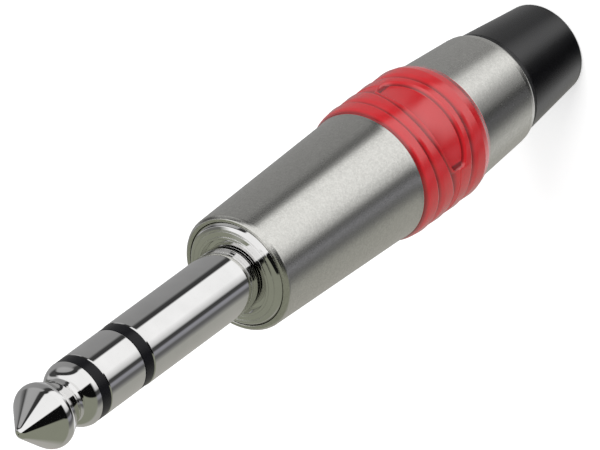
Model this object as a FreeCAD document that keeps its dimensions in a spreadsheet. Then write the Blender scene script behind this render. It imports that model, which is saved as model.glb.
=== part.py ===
import FreeCAD, Part
import math
import os

import Sketcher

# Stereo jack plug, standing on its cable end with the contact finger up.
# The plug's axis is +Z and the origin is the middle of the boot's end face.
# Every length is in millimetres.

# Driving sizes
SIZES = {
    # Finger, from its tip
    "finger_length": 31.4,
    "sleeve_radius": 3.175,
    "tip_point_radius": 0.06,
    "tip_nose_length": 0.29,
    "tip_nose_radius": 0.615,
    "tip_nose_arc": 0.8,
    "tip_cone_length": 2.72,
    "tip_cone_radius": 2.89,
    "ball_front_length": 0.68,
    "ball_radius": 3.14,
    "ball_back_length": 0.51,
    "ball_back_drop": 0.13,
    "ball_arc": 1.07,
    "neck_slope_length": 1.79,
    "neck_width": 0.65,
    "neck_radius": 2.15,
    "neck_arc": 0.6,
    "bulge_length": 1.41,
    "bulge_arc": 1.7,
    # Contacts along the finger
    "band_radius": 3.13,
    "ring_contact_radius": 3.14,
    "tip_band_width": 1.25,
    "ring_contact_width": 5.07,
    "ring_band_width": 1.22,
    "edge_break": 0.12,
    # Nested rod and tubes inside the finger
    "rod_radius": 0.9,
    "tube_wall": 0.4,
    "ring_tube_wall": 0.46,
    "stack_fit": 0.02,
    # Flange, thread and swivel groove of the finger
    "flange_radius": 5.05,
    "flange_face_width": 1.225,
    "flange_thickness": 1.95,
    "flange_round": 0.6,
    "flange_arc": 0.75,
    "flange_proud": 0.55,
    "flange_gap": 0.06,
    "flange_seat_width": 0.35,
    "finger_thread_length": 4.0,
    "swivel_width": 0.8,
    "boss_wall": 0.36,
    "boss_peen": 0.45,
    # Terminals
    "lug_thickness": 0.5,
    "lug_seat": 0.9,
    "ground_lug_overhang": 0.15,
    "ring_lug_land": 1.05,
    "tip_lug_land": 1.2,
    "rear_insulator_wall": 0.35,
    "rear_insulator_thickness": 1.45,
    "lug_insulator_wall": 0.45,
    "lug_insulator_thickness": 1.5,
    "ring_tube_peen": 0.3,
    "rivet_land": 0.5,
    "rivet_height": 0.6,
    "tail_gap": 0.05,
    "tip_tail_gap": 0.15,
    "ground_tail_width": 2.2,
    "ring_tail_width": 2.0,
    "tip_tail_width": 1.8,
    "ground_tail_end": 1.25,
    "ring_tail_end": 3.7,
    "tip_tail_end": 5.2,
    "solder_hole_radius": 0.45,
    # Insulating sleeve round the terminals
    "shroud_gap": 0.2,
    "shroud_wall": 0.4,
    "swivel_play": 0.1,
    "shroud_end_gap": 0.2,
    # Housing
    "lip_width": 0.605,
    "rim_round": 0.3,
    "body_taper": 0.585,
    "flare_rise": 0.11,
    "flare_length": 1.0,
    "flare_arc": 3.6,
    "rear_shoulder_drop": 0.05,
    "rear_wall": 0.69,
    "rear_round": 0.75,
    "rear_round_depth": 0.23,
    "rear_round_arc": 0.9,
    "rear_taper_length": 8.2,
    "shroud_play": 0.35,
    "thread_fit": 0.05,
    "chamber_length": 14.45,
    "rib_overhang": 0.6,
    "rib_width": 1.4,
    "chuck_depth": 17.4,
    "thread_relief": 0.2,
    # Coding ring
    "ring_seat_depth": 0.3,
    "ring_front_rise": 0.02,
    "crest_rise": 0.35,
    "valley_depth": 0.18,
    "front_land": 1.75,
    "rear_land": 1.37,
    "crest_pitch": 2.44,
    "crest_fall": 0.45,
    "front_land_arc": 5.3,
    "crest_arc": 12.0,
    "ring_end_rise": 0.04,
    "ring_end_arc": 2.4,
    "window_drop": 3.51,
    "window_width": 3.12,
    "window_depth": 0.22,
    "window_slope": 0.5,
    "window_angle": 105.0,
    # Chuck
    "slide_fit": 0.1,
    "thread_clearance": 0.55,
    "collar_length": 2.5,
    "chuck_throat": 3.0,
    "finger_wall": 0.75,
    "chuck_length": 14.6,
    "nose_length": 2.6,
    "nose_wall": 0.3,
    "slot_width": 0.8,
    "slot_root": 0.9,
    "grip_depth": 0.2,
    "grip_width": 0.4,
    "grip_pitch": 0.9,
    "grip_start": 0.6,
    # Clamp nut
    "nut_wall": 1.0,
    "nut_thread_length": 9.2,
    "nut_collar_width": 0.5,
    "nut_collar_drop": 0.14,
    "nose_gap": 0.25,
    "nut_bore_step": 0.2,
    "stem_wall": 0.9,
    "stem_groove_depth": 0.4,
    "stem_groove_width": 1.0,
    "stem_groove_step": 2.0,
    # Boot
    "boot_length": 8.7,
    "boot_taper": 0.86,
    "boot_round": 0.5,
    "boot_end_wall": 2.5,
    "cable_hole_radius": 3.2,
}

CHUCK_SLOT_CUTS = 3
GRIP_GROOVES = 4
RING_CRESTS = 4


class Size:
    """A length that keeps the sheet expression it is worked out from."""

    def __init__(self, text, value):
        self.text = text
        self.value = value

    def __add__(self, other):
        other = as_size(other)
        return Size(f"({self.text} + {other.text})", self.value + other.value)

    def __sub__(self, other):
        other = as_size(other)
        return Size(f"({self.text} - {other.text})", self.value - other.value)

    def __mul__(self, factor):
        return Size(f"({self.text} * {factor})", self.value * factor)

    def __neg__(self):
        return self * -1


def as_size(number):
    """A plain number as a Size, and a Size as it is."""
    if isinstance(number, Size):
        return number
    return Size(str(number), float(number))


class Corner:
    """A point of an outline, with the arc that leads on from it, if any.

    bend is +1 where the arc turns left on its way to the next corner, -1 right.
    """

    def __init__(self, across, up, arc=None, bend=1):
        self.across = as_size(across)
        self.up = as_size(up)
        self.arc = arc
        self.bend = bend

    def vector(self):
        return FreeCAD.Vector(self.across.value, self.up.value, 0)


document = FreeCAD.newDocument("StereoJackPlug")
sheet = document.addObject("Spreadsheet::Sheet", "Sizes")
for row, (alias, number) in enumerate(SIZES.items(), start=1):
    sheet.set(f"A{row}", alias)
    sheet.set(f"B{row}", str(number))
    sheet.setAlias(f"B{row}", alias)
document.recompute()
size = {alias: Size(f"Sizes.{alias}", number) for alias, number in SIZES.items()}


# Drawing helpers

def origin_feature(body, role):
    """One of the body's own origin planes or axes."""
    for feature in body.Origin.OriginFeatures:
        if feature.Role == role:
            return feature
    raise ValueError(f"{body.Name} has no {role}")


def new_sketch(body, name, plane, offset=None, turn=0):
    """A sketch on one of the body's planes, moved out by offset and turned about its own Y."""
    sketch = body.newObject("Sketcher::SketchObject", name)
    sketch.AttachmentSupport = [(origin_feature(body, plane), "")]
    sketch.MapMode = "FlatFace"
    rotation = FreeCAD.Rotation(FreeCAD.Vector(0, 1, 0), turn)
    sketch.AttachmentOffset = FreeCAD.Placement(FreeCAD.Vector(), rotation)
    if offset is not None:
        sketch.setExpression("AttachmentOffset.Base.z", as_size(offset).text)
    return sketch


def tie(sketch, kind, geometry, point, length):
    """Hold one coordinate of a point at a length from the sheet."""
    if length.value == 0:
        axis = -2 if kind == "DistanceX" else -1
        sketch.addConstraint(Sketcher.Constraint("PointOnObject", geometry, point, axis))
        return
    constraint = Sketcher.Constraint(kind, -1, 1, geometry, point, length.value)
    index = sketch.addConstraint(constraint)
    sketch.setExpression(f"Constraints[{index}]", length.text)


def arc_edge(start, end, radius, bend):
    """The arc from start to end that turns to the given side."""
    chord = end - start
    middle = (start + end) * 0.5
    left = FreeCAD.Vector(-chord.y, chord.x, 0).normalize()
    reach = math.sqrt(radius ** 2 - (chord.Length / 2) ** 2)
    centre = middle + left * (bend * reach)
    circle = Part.Circle(centre, FreeCAD.Vector(0, 0, 1), radius)
    angle = {}
    for name, point in (("start", start), ("end", end)):
        angle[name] = math.atan2(point.y - centre.y, point.x - centre.x)
    if bend > 0:
        return Part.ArcOfCircle(circle, angle["start"], angle["end"])
    return Part.ArcOfCircle(circle, angle["end"], angle["start"])


def draw_outline(sketch, corners):
    """A closed outline of straight edges and arcs, tied to the sheet at every corner."""
    begins = []
    ends = []
    for corner, following in zip(corners, corners[1:] + corners[:1]):
        start = corner.vector()
        end = following.vector()
        if corner.arc is None:
            geometry = sketch.addGeometry(Part.LineSegment(start, end), False)
            first, last = 1, 2
        else:
            edge = arc_edge(start, end, corner.arc.value, corner.bend)
            geometry = sketch.addGeometry(edge, False)
            first, last = (1, 2) if corner.bend > 0 else (2, 1)
            index = sketch.addConstraint(
                Sketcher.Constraint("Radius", geometry, corner.arc.value))
            sketch.setExpression(f"Constraints[{index}]", corner.arc.text)
        begins.append((geometry, first))
        ends.append((geometry, last))
    for begin, end in zip(begins, ends[-1:] + ends[:-1]):
        sketch.addConstraint(Sketcher.Constraint("Coincident", *end, *begin))
    for corner, begin in zip(corners, begins):
        tie(sketch, "DistanceX", *begin, corner.across)
        tie(sketch, "DistanceY", *begin, corner.up)


def draw_circle(sketch, radius, across=0, up=0):
    """A circle of the sheet's radius about a point of the sheet."""
    across = as_size(across)
    up = as_size(up)
    centre = FreeCAD.Vector(across.value, up.value, 0)
    circle = Part.Circle(centre, FreeCAD.Vector(0, 0, 1), radius.value)
    geometry = sketch.addGeometry(circle, False)
    if across.value == 0 and up.value == 0:
        sketch.addConstraint(Sketcher.Constraint("Coincident", geometry, 3, -1, 1))
    else:
        tie(sketch, "DistanceX", geometry, 3, across)
        tie(sketch, "DistanceY", geometry, 3, up)
    index = sketch.addConstraint(Sketcher.Constraint("Radius", geometry, radius.value))
    sketch.setExpression(f"Constraints[{index}]", radius.text)


def new_body(name):
    body = document.addObject("PartDesign::Body", name)
    body.Label = name
    return body


def turned(name, corners):
    """A body turned about the plug's axis from a half section."""
    body = new_body(name)
    sketch = new_sketch(body, name + "_section", "XZ_Plane")
    draw_outline(sketch, corners)
    revolution = body.newObject("PartDesign::Revolution", name + "_turned")
    revolution.Profile = sketch
    revolution.ReferenceAxis = (sketch, ["V_Axis"])
    revolution.Angle = 360
    return body


def tube(name, outer, bore, bottom, top):
    """A plain turned ring or tube."""
    return turned(name, [
        Corner(bore, bottom),
        Corner(outer, bottom),
        Corner(outer, top),
        Corner(bore, top),
    ])


def padded(body, sketch, name, length):
    pad = body.newObject("PartDesign::Pad", name)
    pad.Profile = sketch
    pad.setExpression("Length", length.text)
    return pad


# Heights along the axis, from the cable end up to the tip
housing_rear = size["boot_length"] + size["nut_collar_width"]
nut_thread_top = housing_rear + size["nut_thread_length"]
chuck_stop = housing_rear + size["chuck_depth"]
chuck_nose = chuck_stop - size["chuck_length"]
rib_top = chuck_stop + size["rib_width"]
ring_rear = housing_rear + size["rear_taper_length"]
last_crest = ring_rear + size["rear_land"]
ring_top = last_crest + size["crest_pitch"] * (RING_CRESTS - 1) + size["front_land"]
finger_thread_back = rib_top + size["chamber_length"]
flange_seat = finger_thread_back + size["finger_thread_length"]
flange_face = flange_seat + size["flange_thickness"]
rim = flange_face - size["flange_proud"]
tip_end = flange_face + size["finger_length"]
nose_back = tip_end - size["tip_nose_length"]
cone_back = nose_back - size["tip_cone_length"]
ball_widest = cone_back - size["ball_front_length"]
ball_back = ball_widest - size["ball_back_length"]
neck_front = ball_back - size["neck_slope_length"]
neck_back = neck_front - size["neck_width"]
head_back = neck_back - size["bulge_length"]
tip_band_back = head_back - size["tip_band_width"]
ring_contact_back = tip_band_back - size["ring_contact_width"]
ring_band_back = ring_contact_back - size["ring_band_width"]
swivel_back = finger_thread_back - size["swivel_width"]
ground_lug_back = swivel_back - size["lug_thickness"]
boss_back = ground_lug_back - size["boss_peen"]
rear_insulator_back = ground_lug_back - size["rear_insulator_thickness"]
ring_lug_back = rear_insulator_back - size["lug_thickness"]
ring_tube_back = ring_lug_back - size["ring_tube_peen"]
lug_insulator_back = ring_lug_back - size["lug_insulator_thickness"]
tip_lug_back = lug_insulator_back - size["lug_thickness"]
rod_back = tip_lug_back - size["rivet_height"]

# Radii of the finger and its terminals, from the middle out
inner_tube_bore = size["rod_radius"] + size["stack_fit"]
inner_tube_outer = inner_tube_bore + size["tube_wall"]
ring_tube_bore = inner_tube_outer + size["stack_fit"]
ring_tube_outer = ring_tube_bore + size["ring_tube_wall"]
outer_tube_bore = ring_tube_outer + size["stack_fit"]
outer_tube_outer = outer_tube_bore + size["tube_wall"]
sleeve_bore = outer_tube_outer + size["stack_fit"]
boss_radius = sleeve_bore + size["boss_wall"]
swivel_radius = boss_radius + size["lug_seat"]
ground_lug_radius = swivel_radius + size["ground_lug_overhang"]
rear_insulator_radius = boss_radius + size["rear_insulator_wall"]
ring_lug_radius = ring_tube_outer + size["ring_lug_land"]
lug_insulator_radius = ring_tube_outer + size["lug_insulator_wall"]
tip_lug_radius = size["rod_radius"] + size["tip_lug_land"]
rivet_radius = size["rod_radius"] + size["rivet_land"]
ground_tail_inner = rear_insulator_radius + size["tail_gap"]
ring_tail_inner = lug_insulator_radius + size["tail_gap"]
tip_tail_inner = rivet_radius + size["tip_tail_gap"]
shroud_bore = ground_lug_radius + size["shroud_gap"]
shroud_radius = shroud_bore + size["shroud_wall"]
finger_thread_radius = size["flange_radius"] - size["flange_seat_width"]

# Radii of the cable clamp, from the cable out
chuck_finger_radius = size["chuck_throat"] + size["finger_wall"]
nose_radius = size["chuck_throat"] + size["nose_wall"]
cone_radius = chuck_finger_radius + size["nose_gap"]
nut_thread_radius = cone_radius + size["nut_wall"]
nut_thread_bore = nut_thread_radius + size["thread_fit"]
chuck_bore = nut_thread_radius - size["thread_clearance"]
nut_bore = size["cable_hole_radius"] + size["nut_bore_step"]
stem_radius = nut_bore + size["stem_wall"]
stem_groove_radius = stem_radius - size["stem_groove_depth"]

# Radii of the housing and of what shows at its two ends
counterbore = size["flange_radius"] + size["flange_gap"]
front_radius = counterbore + size["lip_width"]
body_radius = front_radius + size["body_taper"]
flare_radius = body_radius + size["flare_rise"]
ring_seat_radius = body_radius - size["ring_seat_depth"]
rear_shoulder_radius = body_radius - size["rear_shoulder_drop"]
rear_radius = nut_thread_bore + size["rear_wall"]
rear_face_radius = rear_radius - size["rear_round_depth"]
boot_front_radius = rear_face_radius - size["nut_collar_drop"]
boot_rear_radius = boot_front_radius - size["boot_taper"]

# Radii of the coding ring
ring_front_radius = flare_radius + size["ring_front_rise"]
crest_radius = ring_front_radius + size["crest_rise"]
valley_radius = crest_radius - size["valley_depth"]
window_floor = valley_radius - size["window_depth"]
ring_end_radius = rear_shoulder_radius + size["ring_end_rise"]


# Contact finger

def tip_contact():
    """The turned tip with its long rod, peened over behind the tip lug."""
    return turned("tip_contact", [
        Corner(0, tip_end),
        Corner(0, rod_back),
        Corner(rivet_radius * 0.6, rod_back),
        Corner(rivet_radius, tip_lug_back - size["rivet_height"] * 0.3),
        Corner(rivet_radius, tip_lug_back),
        Corner(size["rod_radius"], tip_lug_back),
        Corner(size["rod_radius"], head_back),
        Corner(size["ball_radius"], head_back, size["bulge_arc"], 1),
        Corner(size["neck_radius"], neck_back, size["neck_arc"], -1),
        Corner(size["neck_radius"], neck_front),
        Corner(size["ball_radius"] - size["ball_back_drop"], ball_back,
               size["ball_arc"], 1),
        Corner(size["ball_radius"], ball_widest, size["ball_arc"], 1),
        Corner(size["tip_cone_radius"], cone_back),
        Corner(size["tip_nose_radius"], nose_back, size["tip_nose_arc"], 1),
        Corner(size["tip_point_radius"], tip_end),
    ])


def ring_contact():
    """The ring contact with its tube, peened over behind the ring lug."""
    edge = size["edge_break"]
    return turned("ring_contact", [
        Corner(ring_tube_bore, ring_tube_back),
        Corner(ring_tube_outer, ring_tube_back),
        Corner(ring_tube_outer, ring_contact_back),
        Corner(size["ring_contact_radius"] - edge, ring_contact_back),
        Corner(size["ring_contact_radius"], ring_contact_back + edge),
        Corner(size["ring_contact_radius"], tip_band_back - edge),
        Corner(size["ring_contact_radius"] - edge, tip_band_back),
        Corner(ring_tube_bore, tip_band_back),
    ])


def sleeve_contact():
    """The sleeve barrel in one piece with the flange, the thread and the rear boss."""
    edge = size["edge_break"]
    return turned("sleeve_contact", [
        Corner(sleeve_bore, boss_back),
        Corner(boss_radius, boss_back),
        Corner(boss_radius, swivel_back),
        Corner(swivel_radius, swivel_back),
        Corner(swivel_radius, finger_thread_back),
        Corner(finger_thread_radius - edge, finger_thread_back),
        Corner(finger_thread_radius, finger_thread_back + edge),
        Corner(finger_thread_radius, flange_seat),
        Corner(size["flange_radius"], flange_seat),
        Corner(size["flange_radius"], flange_face - size["flange_round"],
               size["flange_arc"], 1),
        Corner(size["sleeve_radius"] + size["flange_face_width"], flange_face),
        Corner(size["sleeve_radius"] + edge, flange_face),
        Corner(size["sleeve_radius"], flange_face + edge),
        Corner(size["sleeve_radius"], ring_band_back - edge),
        Corner(size["sleeve_radius"] - edge, ring_band_back),
        Corner(sleeve_bore, ring_band_back),
    ])


def stepped_insulator(name, outer, bore, cup_radius, cup_depth, bottom, top):
    """An insulating washer with a cup in its front for the peened edge ahead of it."""
    return turned(name, [
        Corner(bore, bottom),
        Corner(outer, bottom),
        Corner(outer, top),
        Corner(cup_radius, top),
        Corner(cup_radius, top - cup_depth),
        Corner(bore, top - cup_depth),
    ])


def lug(name, disc_radius, bore, bottom, plane, tail_offset, width, tail_end):
    """A solder lug: a washer on the stack with a tail that runs back to its solder hole."""
    body = new_body(name)
    disc = new_sketch(body, name + "_disc", "XY_Plane", bottom)
    draw_circle(disc, disc_radius)
    draw_circle(disc, bore)
    padded(body, disc, name + "_washer", size["lug_thickness"])
    half = width * 0.5
    top = bottom + size["lug_thickness"]
    shoulder = tail_end + half
    tail = new_sketch(body, name + "_outline", plane, tail_offset)
    draw_outline(tail, [
        Corner(half, top),
        Corner(-half, top),
        Corner(-half, shoulder, half, 1),
        Corner(0, shoulder - half, half, 1),
        Corner(half, shoulder),
    ])
    draw_circle(tail, size["solder_hole_radius"], 0, shoulder)
    padded(body, tail, name + "_tail", size["lug_thickness"])
    return body


def contact_finger():
    """Every piece of the contact finger, from the tip back to the tip lug."""
    fit = size["stack_fit"]
    return [
        tip_contact(),
        tube("tip_insulator", size["band_radius"], ring_tube_bore,
             tip_band_back, head_back),
        tube("inner_insulating_tube", inner_tube_outer, inner_tube_bore,
             lug_insulator_back, head_back),
        ring_contact(),
        tube("ring_insulator", size["band_radius"], sleeve_bore,
             ring_band_back, ring_contact_back),
        tube("outer_insulating_tube", outer_tube_outer, outer_tube_bore,
             rear_insulator_back, ring_contact_back),
        sleeve_contact(),
        lug("ground_lug", ground_lug_radius, boss_radius + fit,
            ground_lug_back, "YZ_Plane", ground_tail_inner,
            size["ground_tail_width"], rib_top + size["ground_tail_end"]),
        stepped_insulator("rear_insulator", rear_insulator_radius,
                          outer_tube_outer + fit, boss_radius + fit,
                          size["boss_peen"] + fit, rear_insulator_back, ground_lug_back),
        lug("ring_lug", ring_lug_radius, ring_tube_outer + fit,
            ring_lug_back, "YZ_Plane", -(ring_tail_inner + size["lug_thickness"]),
            size["ring_tail_width"], rib_top + size["ring_tail_end"]),
        stepped_insulator("lug_insulator", lug_insulator_radius,
                          inner_tube_outer + fit, ring_tube_outer + fit,
                          size["ring_tube_peen"] + fit, lug_insulator_back, ring_lug_back),
        lug("tip_lug", tip_lug_radius, size["rod_radius"] + fit,
            tip_lug_back, "XZ_Plane", -(tip_tail_inner + size["lug_thickness"]),
            size["tip_tail_width"], rib_top + size["tip_tail_end"]),
    ]


# Shell

def insulating_sleeve():
    """The tube round the terminals, with a front lip that swivels in the finger's groove."""
    lip_top = finger_thread_back - size["swivel_play"]
    lip_back = swivel_back + size["swivel_play"]
    bottom = rib_top + size["shroud_end_gap"]
    return turned("insulating_sleeve", [
        Corner(shroud_bore, bottom),
        Corner(shroud_radius, bottom),
        Corner(shroud_radius, lip_top),
        Corner(swivel_radius + size["swivel_play"], lip_top),
        Corner(swivel_radius + size["swivel_play"], lip_back),
        Corner(shroud_bore, lip_back),
    ])


def housing():
    """The tapered metal shell, bored from both ends down to an inner rib."""
    round_off = size["rim_round"]
    finger_thread_bore = finger_thread_radius + size["thread_fit"]
    nut_thread_end = nut_thread_top + size["thread_relief"]
    chamber_radius = shroud_radius + size["shroud_play"]
    rib_radius = size["chuck_throat"] + size["rib_overhang"]
    return turned("housing", [
        Corner(counterbore, rim),
        Corner(counterbore, flange_seat),
        Corner(finger_thread_bore, flange_seat),
        Corner(finger_thread_bore, finger_thread_back - size["edge_break"]),
        Corner(chamber_radius, finger_thread_back - size["edge_break"]),
        Corner(chamber_radius, rib_top),
        Corner(rib_radius, rib_top),
        Corner(rib_radius, chuck_stop),
        Corner(chuck_bore, chuck_stop),
        Corner(chuck_bore, nut_thread_end),
        Corner(nut_thread_bore, nut_thread_end),
        Corner(nut_thread_bore, housing_rear),
        Corner(rear_face_radius, housing_rear, size["rear_round_arc"], 1),
        Corner(rear_radius, housing_rear + size["rear_round"]),
        Corner(rear_shoulder_radius, ring_rear),
        Corner(ring_seat_radius, ring_rear),
        Corner(ring_seat_radius, ring_top),
        Corner(flare_radius, ring_top, size["flare_arc"], -1),
        Corner(body_radius, ring_top + size["flare_length"]),
        Corner(front_radius, rim - round_off, round_off, 1),
        Corner(front_radius - round_off, rim),
    ])


def ring_section():
    """Half section of the coding ring, with one crest after another down its length."""
    bore = ring_seat_radius + size["stack_fit"]
    corners = [
        Corner(ring_front_radius, ring_top),
        Corner(bore, ring_top),
        Corner(bore, ring_rear),
        Corner(ring_end_radius, ring_rear, size["ring_end_arc"], 1),
    ]
    for crest in reversed(range(RING_CRESTS)):
        height = ring_top - size["front_land"] - size["crest_pitch"] * crest
        if crest < RING_CRESTS - 1:
            corners.append(Corner(valley_radius, height - size["crest_fall"]))
        arc = size["crest_arc"] if crest else size["front_land_arc"]
        corners.append(Corner(crest_radius, height, arc, 1))
    return corners


def coding_ring():
    """The soft coloured ring in the housing's groove, with a sunk window for a label."""
    body = turned("coding_ring", ring_section())
    front = ring_top - size["window_drop"]
    rear = front - size["window_width"]
    outside = crest_radius + valley_radius - window_floor
    sketch = new_sketch(body, "window_section", "XZ_Plane", turn=-90)
    draw_outline(sketch, [
        Corner(window_floor, rear + size["window_slope"]),
        Corner(outside, rear),
        Corner(outside, front + size["window_slope"] * 0.5),
        Corner(window_floor, front),
    ])
    document.recompute()
    window = body.newObject("PartDesign::Groove", "label_window")
    window.Profile = sketch
    window.ReferenceAxis = (sketch, ["V_Axis"])
    window.setExpression("Angle", size["window_angle"].text)
    window.Midplane = True
    return body


# Cable clamp

def chuck_section():
    """Half section of the chuck, with gripping grooves near its nose."""
    throat = size["chuck_throat"]
    groove = throat + size["grip_depth"]
    collar_radius = chuck_bore - size["slide_fit"]
    collar_back = chuck_stop - size["collar_length"]
    corners = [Corner(throat, chuck_stop)]
    for ring in reversed(range(GRIP_GROOVES)):
        height = chuck_nose + size["grip_start"] + size["grip_pitch"] * ring
        corners += [
            Corner(throat, height + size["grip_width"]),
            Corner(groove, height + size["grip_width"]),
            Corner(groove, height),
            Corner(throat, height),
        ]
    corners += [
        Corner(throat, chuck_nose),
        Corner(nose_radius, chuck_nose),
        Corner(chuck_finger_radius, chuck_nose + size["nose_length"]),
        Corner(chuck_finger_radius, collar_back),
        Corner(collar_radius, collar_back),
        Corner(collar_radius, chuck_stop),
    ]
    return corners


def chuck():
    """The slotted collet that grips the cable."""
    body = turned("chuck", chuck_section())
    reach = nut_thread_radius
    below = chuck_nose - size["slot_width"]
    slot_top = chuck_stop - size["collar_length"] - size["slot_root"]
    sketch = new_sketch(body, "slot_outline", "XZ_Plane")
    draw_outline(sketch, [
        Corner(-reach, below),
        Corner(reach, below),
        Corner(reach, slot_top),
        Corner(-reach, slot_top),
    ])
    document.recompute()
    slot = body.newObject("PartDesign::Pocket", "slot")
    slot.Profile = sketch
    slot.SideType = "Symmetric"
    slot.setExpression("Length", size["slot_width"].text)
    document.recompute()
    slots = body.newObject("PartDesign::PolarPattern", "slots")
    slots.Originals = [slot]
    slots.Axis = (origin_feature(body, "Z_Axis"), [""])
    slots.Angle = 360
    slots.Occurrences = CHUCK_SLOT_CUTS
    body.Tip = slots
    return body


def stem_grooves(radius, groove_radius, gap):
    """Corners of the two rings between stem and boot, from the cable end forward."""
    corners = []
    for ring in range(2):
        bottom = size["boot_end_wall"] + size["stem_groove_step"] * (ring + 0.5)
        top = bottom + size["stem_groove_width"]
        corners += [
            Corner(radius, bottom + gap),
            Corner(groove_radius, bottom + gap),
            Corner(groove_radius, top - gap),
            Corner(radius, top - gap),
        ]
    return corners


def clamp_nut():
    """The hard threaded core of the boot, with the cone that closes the chuck."""
    cone_end_radius = nose_radius + size["nose_gap"]
    return turned("clamp_nut", [
        Corner(nut_bore, size["boot_end_wall"]),
        Corner(stem_radius, size["boot_end_wall"]),
        *stem_grooves(stem_radius, stem_groove_radius, as_size(0)),
        Corner(stem_radius, size["boot_length"]),
        Corner(boot_front_radius, size["boot_length"]),
        Corner(boot_front_radius, housing_rear),
        Corner(nut_thread_radius, housing_rear),
        Corner(nut_thread_radius, nut_thread_top),
        Corner(cone_radius, nut_thread_top),
        Corner(cone_radius, chuck_nose + size["nose_length"]),
        Corner(cone_end_radius, chuck_nose),
        Corner(nut_bore, chuck_nose - size["nose_gap"]),
    ])


def boot():
    """The soft boot moulded on the stem of the clamp nut."""
    fit = size["stack_fit"]
    round_off = size["boot_round"]
    bore = stem_radius + fit
    return turned("boot", [
        Corner(size["cable_hole_radius"], 0),
        Corner(boot_rear_radius - round_off, 0, round_off, 1),
        Corner(boot_rear_radius, round_off),
        Corner(boot_front_radius, size["boot_length"]),
        Corner(bore, size["boot_length"]),
        *reversed(stem_grooves(bore, stem_groove_radius + fit, fit)),
        Corner(bore, size["boot_end_wall"]),
        Corner(size["cable_hole_radius"], size["boot_end_wall"]),
    ])


def check(bodies):
    """Stop before anything is written if a feature or a shape is at fault."""
    for item in document.Objects:
        if "Invalid" in item.State or "Error" in item.State:
            raise RuntimeError(f"{item.Name} is {item.State}")
    for body in bodies:
        if body.Shape.isNull() or not body.Shape.isValid():
            raise RuntimeError(f"{body.Label} has no valid shape")
        if len(body.Shape.Solids) != 1:
            raise RuntimeError(f"{body.Label} is not one solid")


def main():
    bodies = contact_finger()
    bodies += [insulating_sleeve(), housing(), coding_ring(), chuck(), clamp_nut(), boot()]
    document.recompute()
    check(bodies)
    os.makedirs("parts", exist_ok=True)
    for body in bodies:
        body.Shape.exportStep(f"parts/{body.Label}.step")
        print(f"{body.Label}: {body.Shape.Volume:.2f} cubic millimetres")


main()
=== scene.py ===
"""Quarter-inch stereo jack plug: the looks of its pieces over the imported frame."""

import math

import bpy
from bpy.props import FloatProperty, FloatVectorProperty, IntProperty, PointerProperty
from bpy.types import Operator, Panel, PropertyGroup
from mathutils import Matrix, Vector


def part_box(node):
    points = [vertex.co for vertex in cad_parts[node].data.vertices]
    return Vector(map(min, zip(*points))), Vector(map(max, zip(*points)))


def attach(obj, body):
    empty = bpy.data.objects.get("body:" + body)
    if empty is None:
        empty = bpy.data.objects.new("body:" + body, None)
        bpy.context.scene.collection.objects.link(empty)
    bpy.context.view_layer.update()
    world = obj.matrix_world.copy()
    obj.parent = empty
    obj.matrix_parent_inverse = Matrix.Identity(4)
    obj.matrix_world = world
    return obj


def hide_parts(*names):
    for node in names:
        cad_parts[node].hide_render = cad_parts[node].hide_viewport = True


bl_info = {
    "name": "Stereo Jack Plug",
    "version": (1, 0, 0),
    "blender": (4, 5, 0),
    "location": "3D View > Sidebar > Jack Plug",
    "description": "Builds the pieces, finishes and studio of a quarter-inch stereo jack plug",
    "category": "Object",
}

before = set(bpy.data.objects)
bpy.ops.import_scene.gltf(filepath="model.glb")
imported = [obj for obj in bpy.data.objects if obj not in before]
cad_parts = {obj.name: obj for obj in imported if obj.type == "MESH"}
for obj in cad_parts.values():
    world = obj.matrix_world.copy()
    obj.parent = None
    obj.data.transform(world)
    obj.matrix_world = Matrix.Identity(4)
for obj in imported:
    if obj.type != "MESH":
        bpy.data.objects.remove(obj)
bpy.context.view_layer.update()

MM = 0.001
SHARP_ANGLE = math.radians(35)


# Sizes and colours

def length(name, description, default, low=0.0):
    return FloatProperty(name=name, description=description, default=default, min=low,
                         unit="LENGTH", subtype="DISTANCE", precision=5)


def colour(name, description, default):
    return FloatVectorProperty(name=name, description=description, default=default,
                               size=4, min=0.0, max=1.0, subtype="COLOR")


def share(name, description, default):
    return FloatProperty(name=name, description=description, default=default,
                         min=0.0, max=1.0, subtype="FACTOR")


class PlugShape(PropertyGroup):
    turn_steps: IntProperty(
        name="Turn Steps", description="Faces round each turned piece", default=192, min=24)
    ring_steps: IntProperty(
        name="Ring Steps", description="Faces round the coding ring", default=480, min=60)
    round_steps: IntProperty(
        name="Round Steps", description="Faces across each rounded edge", default=6, min=1)
    ring_round_steps: IntProperty(
        name="Ring Round Steps", description="Faces across the coding ring's rounded edges",
        default=4, min=1)
    finger_thread_rows: IntProperty(
        name="Finger Thread Rows", description="Faces along the finger's thread",
        default=96, min=8)
    nut_thread_rows: IntProperty(
        name="Nut Thread Rows", description="Faces along the clamp nut's thread",
        default=150, min=8)
    edge_break: length("Edge Break", "Rounding of the contacts' edges", 0.00012)
    finger_thread_pitch: length(
        "Finger Thread Pitch", "Pitch of the finger's thread", 0.00075)
    finger_thread_depth: length(
        "Finger Thread Depth", "Depth of the finger's thread", 0.00026)
    nut_thread_pitch: length(
        "Nut Thread Pitch", "Pitch of the clamp nut's thread", 0.001)
    nut_thread_depth: length(
        "Nut Thread Depth", "Depth of the clamp nut's thread", 0.00036)
    slot_width: length("Slot Width", "Width of the chuck's slots", 0.0008)
    slot_cuts: IntProperty(
        name="Slot Cuts", description="Cuts across the chuck", default=3, min=1)
    window_angle: FloatProperty(
        name="Window Angle", description="How far the label window reaches round the ring",
        default=math.radians(105), unit="ROTATION", subtype="ANGLE")


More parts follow.
